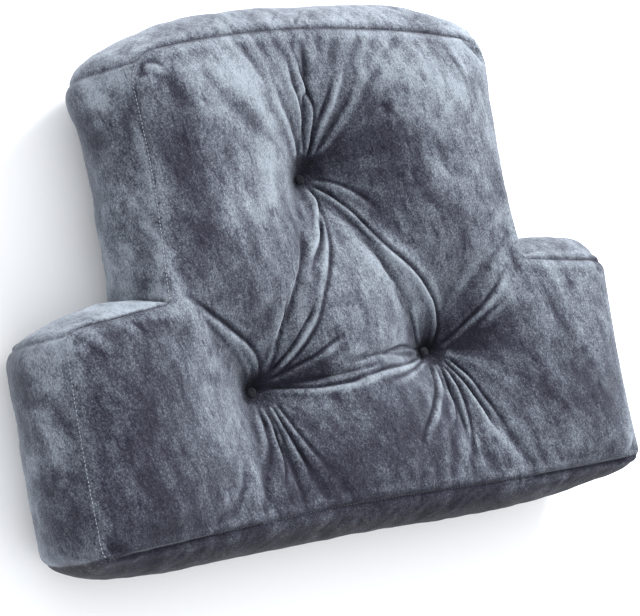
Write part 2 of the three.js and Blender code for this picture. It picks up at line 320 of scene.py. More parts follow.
# ---------------------------------------------------------------- the main folds, placed one by one
# Each runs through pattern points; its floor is the height it settles at, in mm above the bed, halfway along.
# grip is how firmly it is held there while the cover fills, and reach how far to either side. Crowns are held up.
FOLDS = {
    # name: (floor, grip, reach, points)
    "above_top": (96, 0.18, 4.5, [(0, 292), (3, 315), (2, 331), (-10, 347), (-20, 362)]),
    "top_to_right": (86, 0.32, 4.5, [(4, 272), (24, 265), (42, 251), (58, 233), (74, 213), (95, 193), (113, 170), (122, 147), (115, 128)]),
    "top_to_left": (87, 0.30, 4.5, [(0, 272), (1, 255), (-8, 234), (-17, 213), (-26, 196), (-31, 176), (-36, 158), (-47, 142), (-62, 125), (-80, 113)]),
    "corner_to_left": (100, 0.18, 4.5, [(-176, 186), (-160, 181), (-144, 171), (-120, 157), (-102, 144), (-92, 130)]),
    "below_left_outer": (92, 0.10, 4.5, [(-90, 96), (-86, 76), (-90, 57), (-100, 39)]),
    "below_left_inner": (96, 0.10, 4.5, [(-84, 94), (-80, 70), (-77, 50), (-76, 33)]),
    "left_to_right": (96, 0.18, 4.5, [(-80, 104), (-60, 96), (-41, 90), (-20, 88), (0, 88), (20, 91), (43, 95), (70, 102), (86, 110)]),
    "below_right_inner": (96, 0.04, 4.5, [(98, 104), (94, 84), (82, 68), (68, 56)]),
    "below_right_outer": (98, 0.12, 4.5, [(104, 106), (111, 83), (116, 66), (121, 50), (125, 36)]),
    "corner_to_right": (97, 0.18, 4.5, [(178, 187), (169, 169), (155, 153), (139, 140), (123, 130), (106, 124)]),
    "middle_crown": (116, 0.14, 9.0, [(18, 236), (28, 214), (34, 192), (28, 168), (14, 146)]),
    "middle_right_crown": (114, 0.14, 9.0, [(50, 196), (66, 178), (76, 160), (80, 146)]),
    "left_of_middle_crown": (117, 0.10, 12.0, [(-60, 222), (-72, 200), (-84, 176)]),
    "right_crown": (130, 0.2, 26.0, [(136, 118), (165, 118), (200, 118), (240, 116)]),
    "left_crown": (130, 0.2, 26.0, [(-128, 104), (-165, 102), (-200, 102), (-240, 100)]),
    "upper_left_crown": (130, 0.2, 26.0, [(-44, 286), (-80, 286), (-112, 284), (-150, 280)]),
    "upper_right_crown": (130, 0.10, 30.0, [(40, 292), (72, 292), (110, 292), (150, 290)]),
}


def along_points(points, step=2.0):
    """Evenly spaced points along a smooth curve through the given ones."""
    p = [np.array(q, float) for q in points]
    p = [2 * p[0] - p[1]] + p + [2 * p[-1] - p[-2]]
    out = []
    for a, b, c, d in zip(p, p[1:], p[2:], p[3:]):
        n = max(2, int(np.linalg.norm(c - b) / step))
        for t in np.arange(n) / n:
            out.append(0.5 * (2 * b + (c - a) * t + (2 * a - 5 * b + 4 * c - d) * t**2 + (3 * b - a - 3 * c + d) * t**3))
    out.append(p[-2])
    return np.array(out)


def fold_holds():
    """{front vertex: (height to settle at, grip)} for the vertices lying on a fold."""
    holds = {}
    tufts = np.array(list(TUFTS.values()))
    tuft_z = FRONT_SEAM - 7.0 - TUFT_DEPTH
    front_at = [(v, np.array([COLUMNS[k[1]], ROWS[k[2]]])) for k, v in index.items() if k[0] == "f"]
    for floor_z, grip, reach, points in FOLDS.values():
        line = along_points(points)
        crown = floor_z > 104
        for v, at in front_at:
            away = np.min(np.hypot(*(tufts - at).T))
            if np.min(np.hypot(*(line - at).T)) > (min(reach, away * 0.6) if crown else reach):
                continue
            edge = float(to_seam(*at))
            z = tuft_z + (floor_z - tuft_z) * (1 - math.exp(-away / (21 if crown else 26)))
            if crown:
                z = min(z, FRONT_SEAM - 8 + 24 * (1 - math.exp(-edge / 15)))
            else:
                z = max(z, FRONT_SEAM - 14 - edge * 0.9)
            if v not in holds or z < holds[v][0]:
                holds[v] = (z, grip)
    return holds


# ---------------------------------------------------------------- filling it: pressure, with the buttons pulled down
def fill_cover():
    obj = mesh_object("cover_sim", rest, faces)
    pulled = []
    pins = obj.vertex_groups.new(name="pin")
    for tx, ty in TUFTS.values():
        d = {v: math.hypot(rest[v][0] - tx - SHIFT_X, rest[v][1] - ty - SHIFT_Y) for k, v in index.items() if k[0] == "f"}
        near = [v for v, r in d.items() if r <= BUTTON_RADIUS + 0.5]
        pulled += near or [min(d, key=d.get)]
    pins.add(pulled, 1.0, "REPLACE")
    pins.add([v for k, v in index.items() if k[0] == "b"], 1.0, "REPLACE")
    pins.add([index[("f", *n)] for n, _ in rim], 1.0, "REPLACE")
    held = {index[("f", *n)] for n, _ in rim} | set(pulled)
    holds = {v: h for v, h in fold_holds().items() if v not in held}
    for v, (z, grip) in holds.items():
        pins.add([v], grip, "REPLACE")
    slack = obj.vertex_groups.new(name="slack")
    slack.add([v for k, v in index.items() if k[0] != "f"], 1.0, "REPLACE")
    # the front has less to spare near the seams at the sides, which were sewn flat
    for k, v in index.items():
        if k[0] == "f":
            u = abs(COLUMNS[k[1]])
            side = (HALF_BLOCK if ROWS[k[2]] > SHOULDER else HALF_ARM) - u
            slack.add([v], 0.75 * math.exp(-((side / 55.0) ** 2)), "REPLACE")
    obj.shape_key_add(name="Basis")
    pull = obj.shape_key_add(name="pull")
    for v in pulled:
        pull.data[v].co.z -= TUFT_DEPTH * MM
    for v, (z, grip) in holds.items():
        pull.data[v].co.z = z * MM
    pull.value = 0
    pull.keyframe_insert("value", frame=1)
    pull.value = 1
    pull.keyframe_insert("value", frame=int(FRAMES * 0.6))
    cloth = obj.modifiers.new("cloth", "CLOTH")
    s = cloth.settings
    s.quality = 6
    s.mass = 0.15
    s.tension_stiffness = 10
    s.compression_stiffness = 5
    s.shear_stiffness = 5
    s.bending_stiffness = 0.3
    s.tension_damping = s.compression_damping = s.shear_damping = 5
    s.bending_damping = 0.5
    s.air_damping = 3
    s.use_pressure = True
    s.uniform_pressure_force = 400
    s.vertex_group_mass = "pin"
    s.vertex_group_shrink = "slack"
    s.shrink_min = -0.06
    s.shrink_max = 0.0
    s.effector_weights.gravity = 0
    cloth.collision_settings.use_collision = False
    cloth.collision_settings.use_self_collision = False
    cloth.point_cache.frame_start = 1
    cloth.point_cache.frame_end = FRAMES
    scene = bpy.context.scene
    scene.frame_start = 1
    scene.frame_end = FRAMES
    for f in range(1, FRAMES + 1):
        scene.frame_set(f)
    graph = bpy.context.evaluated_depsgraph_get()
    done = obj.evaluated_get(graph).to_mesh()
    co = np.empty(len(done.vertices) * 3)
    done.vertices.foreach_get("co", co)
    scene.frame_set(1)
    bpy.data.objects.remove(obj)
    return co.reshape(-1, 3) / MM


filled = fill_cover()

# Plump places where no fold lies: what the filling left there is stroked flat, up and down the panel
PLUMP = [
    # u, v, half width, half height
    (-187, 104, 82, 50),
    (190, 118, 80, 50),
    (-100, 284, 82, 46),
    (84, 290, 66, 40),
]


def stroke_flat(co, times):
    co = co.copy()
    rows_of = {}
    for k, v in index.items():
        if k[0] == "f":
            rows_of[k[1:3]] = v
    inner = [(n, v) for n, v in rows_of.items() if (n[0], n[1] + 1) in rows_of and (n[0], n[1] - 1) in rows_of]
    at = np.array([v for _, v in inner])
    above = np.array([rows_of[n[0], n[1] + 1] for n, _ in inner])
    below = np.array([rows_of[n[0], n[1] - 1] for n, _ in inner])
    u = np.array([COLUMNS[n[0]] for n, _ in inner])
    v = np.array([ROWS[n[1]] for n, _ in inner])
    away = np.min([np.hypot(u - a, v - b) for a, b in TUFTS.values()], axis=0)
    share = np.zeros(len(at))
    for cu, cv, across, up in PLUMP:
        share = np.maximum(share, np.exp(-(((u - cu) / across) ** 4) - ((v - cv) / up) ** 4))
    share *= (1 - np.exp(-((away / 20.0) ** 2))) * (1 - np.exp(-((to_seam(u, v) / 8.0) ** 2)))
    for _ in range(times):
        middle = (co[above] + co[below]) / 2
        co[at] += 0.5 * share[:, None] * (middle - co[at])
    return co


filled = stroke_flat(filled, 26)


# ---------------------------------------------------------------- finer cloth
def point_attribute(mesh, name, values):
    a = mesh.attributes.get(name) or mesh.attributes.new(name, "FLOAT", "POINT")
    a.data.foreach_set("value", np.asarray(values, float))


def read_attribute(mesh, name, count):
    out = np.empty(count)
    mesh.attributes[name].data.foreach_get("value", out)
    return out


def refine(co, levels):
    obj = mesh_object("cover_fine", co, faces)
    mesh = obj.data
    for name, values in (("pu", pattern[:, 0]), ("pv", pattern[:, 1]), ("ring", ring_of), ("seam", seam_at)):
        point_attribute(mesh, name, values)
    panel = mesh.attributes.new("panel", "INT", "FACE")
    panel.data.foreach_set("value", panels)
    crease = mesh.attributes.new("crease_edge", "FLOAT", "EDGE")
    pairs = {}
    for p, q in rim:
        for side in "fb":
            pairs[frozenset((index[(side, *p)], index[(side, *q)]))] = 0.45
    weights = [pairs.get(frozenset(e.vertices), 0.0) for e in mesh.edges]
    crease.data.foreach_set("value", weights)
    sub = obj.modifiers.new("sub", "SUBSURF")
    sub.levels = sub.render_levels = levels
    graph = bpy.context.evaluated_depsgraph_get()
    fine = bpy.data.meshes.new_from_object(obj.evaluated_get(graph))
    bpy.data.objects.remove(obj)
    return fine


fine = refine(filled, 2)
count = len(fine.vertices)
co = np.empty(count * 3)
fine.vertices.foreach_get("co", co)
co = co.reshape(-1, 3) / MM
pu, pv, ring, along = (read_attribute(fine, n, count) for n in ("pu", "pv", "ring", "seam"))
face_panel = np.empty(len(fine.polygons), np.int32)
fine.attributes["panel"].data.foreach_get("value", face_panel)
quads = np.empty(len(fine.polygons) * 4, np.int32)
fine.polygons.foreach_get("vertices", quads)
quads = quads.reshape(-1, 4)
bpy.data.meshes.remove(fine)


def normals_of(p):
    a, b, c, d = (p[quads[:, k]] for k in range(4))
    n = np.cross(c - a, d - b)
    out = np.zeros_like(p)
    for k in range(4):
        np.add.at(out, quads[:, k], n)
    return out / np.maximum(1e-12, np.linalg.norm(out, axis=1, keepdims=True))


# ---------------------------------------------------------------- seeded noise
def lattice(ix, iy, iz, seed):
    with np.errstate(over="ignore"):
        h = (ix.astype(np.uint64) * np.uint64(73856093)) ^ (iy.astype(np.uint64) * np.uint64(19349663)) ^ (iz.astype(np.uint64) * np.uint64(83492791)) ^ np.uint64(seed * 2654435761 % 2**32)
        h = (h ^ (h >> np.uint64(13))) * np.uint64(0x9E3779B97F4A7C15)
        h = h ^ (h >> np.uint64(29))
    return (h & np.uint64(0xFFFFFF)).astype(float) / 0xFFFFFF * 2 - 1


def noise3(x, y, z, seed=1):
    """Smooth value noise, -1 to 1, one cell per unit."""
    x, y, z = np.broadcast_arrays(np.asarray(x, float), np.asarray(y, float), np.asarray(z, float))
    x, y, z = x + 1000.0, y + 1000.0, z + 1000.0
    fx, fy, fz = np.floor(x), np.floor(y), np.floor(z)
    tx, ty, tz = x - fx, y - fy, z - fz
    tx, ty, tz = (t * t * t * (t * (t * 6 - 15) + 10) for t in (tx, ty, tz))
    ix, iy, iz = fx.astype(np.int64), fy.astype(np.int64), fz.astype(np.int64)
    out = 0
    for dx in (0, 1):
        for dy in (0, 1):
            for dz in (0, 1):
                w = (tx if dx else 1 - tx) * (ty if dy else 1 - ty) * (tz if dz else 1 - tz)
                out = out + w * lattice(ix + dx, iy + dy, iz + dz, seed)
    return out


def fractal(x, y, z, octaves, seed):
    total, size, weight = 0, 1.0, 1.0
    for k in range(octaves):
        total = total + weight * noise3(x * size, y * size, z * size, seed + 17 * k)
        size *= 2.03
        weight *= 0.55
    return total


# ---------------------------------------------------------------- pleats, placed one by one
PLEATS = {
    # name: (rise, width, dip side, dip, points); mm; side +1 is left of the way the points run
    "top_up_main": (2.4, 2.8, -1, 4.2, [(-2, 294), (-1, 312), (-1, 331), (-14, 348), (-22, 363), (-28, 376)]),
    "top_up_left": (1.9, 3.4, -1, 2.4, [(-5, 294), (-11, 315), (-22, 334), (-29, 347), (-34, 366), (-37, 384)]),
    "top_up_far_left": (1.3, 4.5, -1, 1.4, [(-12, 294), (-32, 318), (-50, 340), (-62, 362)]),
    "top_up_right": (2.0, 3.6, 1, 2.2, [(4, 293), (10, 316), (20, 337), (29, 360)]),
    "top_up_far_right": (1.2, 5.0, 1, 1.2, [(9, 293), (28, 318), (44, 340), (54, 362)]),
    "top_right_crest": (2.4, 2.8, 1, 4.6, [(-1, 272), (14, 259), (27, 244), (39, 226), (53, 208), (75, 187), (94, 163), (104, 142), (104, 130), (102, 120)]),
    "top_right_crease": (1.0, 2.2, -1, 1.8, [(70, 168), (80, 150), (88, 134), (96, 122)]),
    "top_right_first": (1.2, 2.6, 1, 2.0, [(5, 274), (24, 266), (40, 253), (54, 236)]),
    "top_left_crest": (2.5, 3.2, 1, 4.4, [(-1, 272), (0, 255), (-9, 237), (-19, 219), (-31, 206), (-44, 189)]),
    "top_left_second": (1.8, 2.9, 1, 2.8, [(4, 268), (0, 246), (-7, 223), (-15, 204), (-24, 187), (-32, 170), (-38, 156), (-48, 142), (-60, 129), (-74, 117)]),
    "left_tuft_outer": (1.7, 4.0, 1, 2.4, [(-68, 192), (-74, 178), (-74, 157), (-76, 136), (-81, 119)]),
    "left_tuft_main": (0.9, 2.8, -1, 3.6, [(-30, 178), (-34, 162), (-46, 147), (-60, 130), (-74, 117)]),
    "left_tuft_third": (1.4, 2.6, -1, 3.0, [(-5, 140), (-19, 134), (-38, 124), (-56, 118), (-76, 111)]),
    "corner_left_arc": (1.7, 3.6, 1, 3.6, [(-184, 183), (-168, 181), (-148, 170), (-123, 156), (-103, 143), (-91, 131), (-87, 118)]),
    "corner_left_low": (0.9, 3.4, -1, 0.8, [(-160, 177), (-139, 163), (-116, 146), (-99, 128), (-92, 114)]),
    "down_left_edge": (1.5, 4.2, 1, 2.4, [(-92, 98), (-95, 82), (-103, 64), (-116, 43), (-121, 34)]),
    "down_left_first": (2.3, 2.5, 1, 3.4, [(-88, 95), (-88, 77), (-92, 57), (-97, 41), (-108, 21)]),
    "down_left_short": (1.5, 2.3, 1, 2.2, [(-85, 93), (-84, 70), (-87, 49)]),
    "down_left_third": (2.2, 2.6, 1, 3.2, [(-81, 92), (-80, 70), (-78, 53), (-76, 36), (-76, 22)]),
    "down_left_fourth": (1.8, 2.8, 1, 2.4, [(-78, 93), (-73, 68), (-68, 51), (-64, 38), (-58, 22)]),
    "left_right_crease": (1.8, 2.8, 1, 3.8, [(-81, 106), (-61, 99), (-42, 93), (-26, 91), (-7, 91), (16, 95), (45, 100), (70, 105), (91, 111)]),
    "left_right_low": (1.0, 2.6, 1, 2.0, [(18, 86), (46, 91), (75, 100), (93, 107)]),
    "lens_top": (1.6, 2.8, 1, 3.0, [(30, 112), (44, 118), (62, 121), (80, 120), (96, 117)]),
    "down_right_inner": (2.0, 3.2, -1, 2.8, [(100, 106), (90, 84), (70, 63), (50, 46), (38, 28)]),
    "down_right_short": (1.5, 2.5, 1, 2.4, [(102, 104), (98, 82), (86, 58), (77, 45)]),
    "down_right_middle": (2.1, 2.7, 1, 3.2, [(105, 103), (107, 80), (105, 60), (100, 41), (89, 19)]),
    "down_right_main": (2.5, 2.6, 1, 3.8, [(107, 107), (113, 88), (117, 72), (120, 57), (124, 42), (130, 27)]),
    "down_right_outer": (2.2, 2.6, 1, 3.2, [(111, 108), (120, 88), (126, 68), (133, 50), (139, 34)]),
    "corner_right_ridge": (2.0, 3.0, -1, 3.8, [(179, 182), (167, 164), (153, 150), (137, 138), (121, 126), (109, 118)]),
    "corner_right_low": (1.1, 2.8, -1, 1.8, [(170, 150), (154, 138), (136, 126)]),
    "right_soft": (1.2, 6.0, 0, 0.0, [(110, 114), (120, 108), (138, 96), (152, 83), (166, 66)]),
    "right_arm_soft": (-1.5, 5.0, 0, 0.0, [(199, 178), (204, 158), (210, 138), (221, 115), (223, 91)]),
    "top_right_corner": (1.3, 3.0, -1, 1.4, [(139, 374), (149, 362), (153, 353), (156, 342)]),
    "top_right_corner_small": (-1.3, 3.0, 0, 0.0, [(101, 356), (105, 347), (108, 338)]),
    "right_trough": (-1.6, 5.0, 0, 0.0, [(102, 309), (111, 290), (116, 274), (125, 260)]),
    "right_trough_small": (-1.1, 4.0, 0, 0.0, [(62, 330), (75, 317)]),
    "upper_left_broad": (-2.2, 8.0, 0, 0.0, [(-131, 386), (-125, 363), (-116, 348), (-106, 338), (-72, 315), (-38, 300)]),
    "upper_left_second": (-1.6, 7.0, 0, 0.0, [(-170, 378), (-156, 356), (-137, 327)]),
    "corner_pucker": (1.4, 4.2, 1, 1.5, [(-180, 384), (-174, 377), (-166, 371), (-156, 368)]),
    "corner_pucker_low": (1.0, 4.0, 1, 1.0, [(-184, 372), (-176, 366), (-166, 360)]),
    "arm_corner_hood": (1.3, 5.0, -1, 1.2, [(-272, 180), (-262, 172), (-254, 162), (-252, 150)]),
    "arm_top_pucker": (1.2, 4.4, 1, 1.2, [(-236, 180), (-228, 170), (-224, 158)]),
}

eps = 1e-6
on_front = ring < eps
on_back = ring > 1 - eps
on_boxing = ~on_front & ~on_back
tuft_away = np.min([np.hypot(pu - u, pv - v) for u, v in TUFTS.values()], axis=0)


def ease(x):
    x = np.clip(x, 0.0, 1.0)
    return x * x * (3 - 2 * x)


def pleat_relief():
    """(height, painted light and shade) along the pleats, for every point of the front."""
    height = np.zeros(count)
    nap_and_painted_light = np.zeros(count)
    for number, (rise, width, side, dip, points) in enumerate(PLEATS.values()):
        line = along_points(points, 1.5)
        reach = 5 * width
        low, high = line.min(0) - reach, line.max(0) + reach
        at = np.flatnonzero(on_front & (pu > low[0]) & (pu < high[0]) & (pv > low[1]) & (pv < high[1]))
        dx = pu[at][:, None] - line[None, :, 0]
        dy = pv[at][:, None] - line[None, :, 1]
        d2 = dx * dx + dy * dy
        k = d2.argmin(1)
        tangent = np.gradient(line, axis=0)
        tangent /= np.linalg.norm(tangent, axis=1, keepdims=True)
        rows = np.arange(len(at))
        ex, ey = dx[rows, k], dy[rows, k]
        s = tangent[k, 0] * ey - tangent[k, 1] * ex
        beyond = tangent[k, 0] * ex + tangent[k, 1] * ey
        t = k / (len(line) - 1)
        wander = noise3(t * len(line) * 1.5 / 22.0, number * 3.7, 0.2, 41)
        s = s + 0.9 * wander * (4 * t * (1 - t))
        from_tuft = [min(math.dist(end, tuft) for tuft in TUFTS.values()) < 32 for end in (line[0], line[-1])]
        fade = ease(t / (0.08 if from_tuft[0] else 0.4)) * ease((1 - t) / (0.08 if from_tuft[1] else 0.4)) * np.exp(-((beyond / 3.0) ** 2))
        fade = fade * (0.85 + 0.35 * noise3(t * len(line) * 1.5 / 17.0, number * 5.1, 0.7, 43))
        spread = t if from_tuft[0] and not from_tuft[1] else 1 - t if from_tuft[1] and not from_tuft[0] else 1 - np.abs(2 * t - 1)
        w = width * (0.65 + 0.5 * spread)
        hump = np.exp(-((s / w) ** 2))
        hollow = np.exp(-(((s - side * 1.5 * w) / (0.6 * w)) ** 2)) if side else 0.0 * s
        height[at] += fade * (rise * hump - dip * hollow)
        # painted highlight along each crest, painted shade in its hollow
        nap_and_painted_light[at] += fade * (0.85 * math.copysign(1, rise) * min(1, abs(rise) / 2) * hump - 0.6 * min(1, dip / 3) * hollow)
    near = 1 - np.exp(-((tuft_away / 8.0) ** 2))
    return height * near, nap_and_painted_light * (0.35 + 0.65 * near)


# ---------------------------------------------------------------- seams and their puckers
edge_distance = to_seam(pu, pv)
girth = BOXING + 22.0  # the boxing's width along its bulge
from_front = np.where(on_front, edge_distance, np.where(on_back, 999.0, ring * girth))
from_back = np.where(on_back, edge_distance, np.where(on_front, 999.0, (1 - ring) * girth))
half_width = np.where(pv > SHOULDER + 0.01, HALF_BLOCK, HALF_ARM)
to_side = np.abs(half_width - np.abs(pu))
to_level = np.minimum(np.minimum(pv, np.abs(BLOCK_TOP - pv)), np.where(np.abs(pu) >= HALF_BLOCK, np.abs(SHOULDER - pv), 999.0))
# 0 along the seams at the sides, which lie smooth, to 1 along the seams at the top, the shoulders and the bottom
level = ease(to_side / (to_side + to_level + 1e-6) * 1.6 - 0.3)


def seam_relief(d, s, seed):
    """A drawn-in line with cloth puffing up beside it, uneven along the seam."""
    uneven = noise3(s / 9.0, 0.3, 0.7, seed)
    fine_uneven = noise3(s / 3.4, 5.1, 0.7, seed + 5)
    strength = 0.34 + 0.66 * level
    line = -(2.1 + 0.5 * uneven) * strength * np.exp(-((d / 1.6) ** 2))
    puff = (0.5 + 0.45 * uneven + 0.25 * fine_uneven) * strength * np.exp(-(((d - 6.0) / 3.6) ** 2))
    gather = 0.55 * noise3(s / 6.5, 1.3, 0.1, seed + 9) * np.exp(-d / 9.0) * (1 - np.exp(-((d / 2.5) ** 2)))
    return line + puff + gather * strength


n0 = normals_of(co)
relief = np.where(from_front < 30, seam_relief(from_front, along, 3), 0.0)
relief += np.where(from_back < 30, seam_relief(from_back, along, 11), 0.0)
pleat_height, pleat_painted_light = pleat_relief()
relief += pleat_height
# the filling's lumps, broad and shallow
inland = ease(np.minimum(from_front, from_back) / 26.0)
lumps = fractal(co[:, 0] / 46.0, co[:, 1] / 46.0, co[:, 2] / 46.0, 3, 61)
relief += np.where(on_back, 0.0, 1.0) * inland * (1 - np.exp(-((tuft_away / 30.0) ** 2)) * on_front) * 1.3 * lumps
# slanting gathers across the boxing, longest on the top and the bottom
slant = along + 0.75 * from_front
across = ring * (1 - ring) * 4
gathers = noise3(slant / 7.5, from_front / 38.0, 0.4, 71) + 0.6 * noise3((along - 0.5 * from_front) / 13.0, from_front / 30.0, 0.9, 73)
gather_size = 0.3 + 0.7 * level * np.where(pv > SHOULDER + 0.01, 1.0, np.where(pv < 1, 0.12, 0.6))
by_seam = np.exp(-((from_front / 26.0) ** 2)) + np.exp(-((from_back / 30.0) ** 2))
relief += np.where(on_boxing, 1.25 * gather_size * (0.18 + 0.82 * by_seam) * np.minimum(1, 6 * across) * gathers, 0.0)
# and short slanting ones crowded along the top seam
crowded = noise3((along + 1.1 * from_front) / 4.4, from_front / 22.0, 0.8, 79)
relief += np.where(on_boxing & (pv > BLOCK_TOP - 1), 0.75 * np.exp(-((from_front / 24.0) ** 2)) * np.minimum(1, from_front / 5.0) * crowded, 0.0)
# where the boxing strips are joined, at each outer corner
corner_nodes = [(0, 0), (len(COLUMNS) - 1, 0), (len(COLUMNS) - 1, R0), (C1, len(ROWS) - 1), (C0, len(ROWS) - 1), (0, R0)]
for corner in corner_nodes:
    here = seam_at[index[("f", *corner)]]
    away = np.abs(along - here)
    relief += np.where(on_boxing, -0.9 * np.exp(-((away / 1.9) ** 2)) + 0.35 * np.exp(-(((away - 5.5) / 3.5) ** 2)), 0.0)
co = co + n0 * relief[:, None]
co[:, 2] = np.maximum(co[:, 2], 0.0)



# ---------------------------------------------------------------- which way the pile lies, and painted light and shade
# Patches, listed one by one, where the velvet is darker or lighter: partly where the pile was stroked towards the eye
# or away from it, partly painted light and shade
PILE_AND_LIGHT_PATCHES = [
    # u, v, reach across, reach up, strength
    (48, 318, 34, 52, -0.55),
    (-146, 318, 32, 56, -0.25),
    (-62, 300, 34, 44, 0.75),
    (120, 340, 60, 48, 0.90),
    (-104, 350, 60, 34, 1.0),
    (-116, 262, 26, 44, 0.35),
    (78, 238, 40, 30, -0.55),
    (14, 196, 40, 46, 1.20),
    (-120, 232, 46, 38, 0.0),
    (-160, 290, 21, 84, -0.75),
    (-232, 128, 44, 62, -1.0),
    (-226, 34, 46, 34, -0.75),
    (-140, 88, 34, 50, 0.40),
    (-156, 146, 30, 34, 0.45),
    (24, 46, 70, 40, -0.60),
    (150, 104, 44, 34, -0.45),
    (-76, 28, 58, 30, -0.8),
    (218, 58, 54, 46, -0.45),
    (146, 236, 30, 44, 0.30),
    (-52, 113, 38, 14, -1.2),
    (134, 136, 34, 20, -0.5),
    (131, 116, 28, 13, -0.75),
    (240, 150, 34, 30, 0.35),
    (206, 110, 30, 44, 0.15),
]


def smoothed(values, times):
    """The values averaged with their neighbours, over and over."""
    corners = quads.ravel()
    weight = np.maximum(1, np.bincount(corners, minlength=count))
    for _ in range(times):
        mean = values[quads].mean(axis=1)
        values = np.stack([np.bincount(corners, weights=np.repeat(mean[:, c], 4), minlength=count) / weight for c in range(mean.shape[1])], axis=1)
    return values


def pile_nap_and_painted_light():
    """-1 dark to 1 silvery: the pile's patches and the streaks that run to the tufts, with painted light and shade on
    the folds, crowns, pits, seams and strips.
    """
    x, y, z = co[:, 0] + 500, co[:, 1] + 500, co[:, 2]
    wx = 14 * fractal(x / 40, y / 40, z / 40, 2, 101)
    wy = 14 * fractal(x / 40, y / 40, z / 40, 2, 103)
    patches = fractal((x + wx) / 52, (y + wy) / 52, z / 52, 4, 107)
    across, down = x * 0.963 + y * 0.266 + 0.5 * wx, x * 0.266 - y * 0.963 + wy
    brushed = fractal(across / 12, down / 66, z / 30, 3, 109)
    streaks = np.zeros(count)
    for number, (u, v) in enumerate(TUFTS.values()):
        r = np.hypot(pu - u, pv - v) + 1e-6
        angle = np.arctan2(pv - v, pu - u)
        cx, cy = np.cos(angle), np.sin(angle)
        ray = noise3(cx * 5.5, cy * 5.5, r / 70 + number * 9, 113) + 0.7 * noise3(cx * 13, cy * 13, r / 60 + number * 9, 127)
        streaks += np.exp(-((r / 85) ** 2)) * ray
    streaks *= on_front
    # crowns and ridges painted lighter, hollows painted darker: painted light and shade
    crown = (co - smoothed(co, 14))
    crown = np.einsum("ij,ij->i", crown, normals_of(co))
    ridge = np.clip(crown / 0.35, -1, 1)
    wide = smoothed(co, 60)
    broad = np.clip(np.einsum("ij,ij->i", co - wide, normals_of(co)) / 1.6, -1, 1)
    smooth_slope = np.where(on_front, np.exp(-((tuft_away / 62.0) ** 2)), 0.0)
    smooth_slope = np.maximum(smooth_slope, np.where(on_front, np.exp(-(((pu + 90) / 70) ** 2) - ((pv - 330) / 60) ** 2), 0.0))
    nap_and_painted_light = (0.44 * patches + 0.36 * brushed) * (1 - 0.55 * smooth_slope) + 0.40 * streaks + 0.30 * ridge + 0.22 * broad + 1.0 * pleat_painted_light
    # painted shade beside each tuft, towards its upper right
    for u, v in TUFTS.values():
        nap_and_painted_light -= np.where(on_front, 0.8 * np.exp(-((np.hypot((pu - u - 22) / 25, (pv - v - 9) / 16)) ** 2)), 0.0)
    for u, v, across, up, strength in PILE_AND_LIGHT_PATCHES:
        nap_and_painted_light += np.where(on_front, strength * np.exp(-(((pu - u) / across) ** 2) - ((pv - v) / up) ** 2), 0.0)
    # painted light on the top strip and most of the left shoulder, painted shade on the right shoulder and the bottom
    # strip, darkest towards the back
    top_strip = on_boxing & (pv > BLOCK_TOP - 1)
    bottom_strip = on_boxing & (pv < 1) & (np.abs(pu) < HALF_ARM - 0.5)
    shoulder_strip = on_boxing & (np.abs(pu) > HALF_BLOCK + 0.5) & (np.abs(pv - SHOULDER) < 1)
    nap_and_painted_light -= np.where(bottom_strip, 0.35 * ring, 0.0)
    nap_and_painted_light += 0.15 * top_strip + np.where(pu < 0, 1.3 * ease((HALF_ARM - 12 - np.abs(pu)) / 44) * ease((np.abs(pu) - HALF_BLOCK) / 16) - 0.2, -0.1) * shoulder_strip - 1.1 * bottom_strip
    # the left strip keeps the pile's patches, with painted light up the block's side and painted shade below the
    # shoulder
    left_strip = on_boxing & (pu < 0) & (np.abs(np.abs(pu) - half_width) < 1) & ~shoulder_strip & ~bottom_strip & ~top_strip
    nap_and_painted_light += np.where(left_strip, 0.25 * brushed + 0.35 * patches + np.where(pv > SHOULDER, 0.35, -0.25 - 0.5 * np.exp(-(((pv - SHOULDER) / 40) ** 2))), 0.0)
    # painted shade in the drawn-in seam line round the front and along the front's lowest band, and a painted highlight
    # on the puff beside the seam
    nap_and_painted_light -= 0.35 * np.exp(-((from_front / 3.0) ** 2)) * level
    nap_and_painted_light -= np.where(on_front & (pv < 60), 0.7 * np.exp(-((pv / 12.0) ** 2)), 0.0)
    nap_and_painted_light += 0.18 * np.exp(-(((from_front - 6.0) / 4.0) ** 2)) * level
    return np.clip(nap_and_painted_light, -1.6, 1.6)


nap_and_painted_light = pile_nap_and_painted_light()
# hardly any light reaches the bottom of the pits, least at their upper right
deep = np.zeros(count)
for u, v in TUFTS.values():
    deep = np.maximum(deep, np.exp(-((np.hypot(pu - u - 5, pv - v - 3) / 9.5) ** 4)))
deep = np.where(on_front, deep, 0.0)
# a brownish tint over the bottom strip, growing away from the front seam, and a little over the back: painted shade
shade_warmth = (on_boxing & (pv < 1)) * ease(from_front / 30.0) + on_back * 0.35

surface = {"co": co, "pu": pu, "pv": pv, "ring": ring, "along": along, "quads": quads, "panel": face_panel}


# ---------------------------------------------------------------- pieces
def make_piece(name, panel_id, attributes):
    chosen = quads[face_panel == panel_id]
    used, inverse = np.unique(chosen.ravel(), return_inverse=True)
    obj = mesh_object(name, co[used], inverse.reshape(-1, 4))
    mesh = obj.data
    mesh.polygons.foreach_set("use_smooth", np.ones(len(mesh.polygons), bool))
    for key, values in attributes.items():
        point_attribute(mesh, key, values[used])
    mesh.polygons.foreach_set("material_index", shaded_strip[face_panel == panel_id].astype(np.int32))
    return obj


attributes = {"nap_and_painted_light": nap_and_painted_light, "shade_warmth": shade_warmth, "deep": deep}
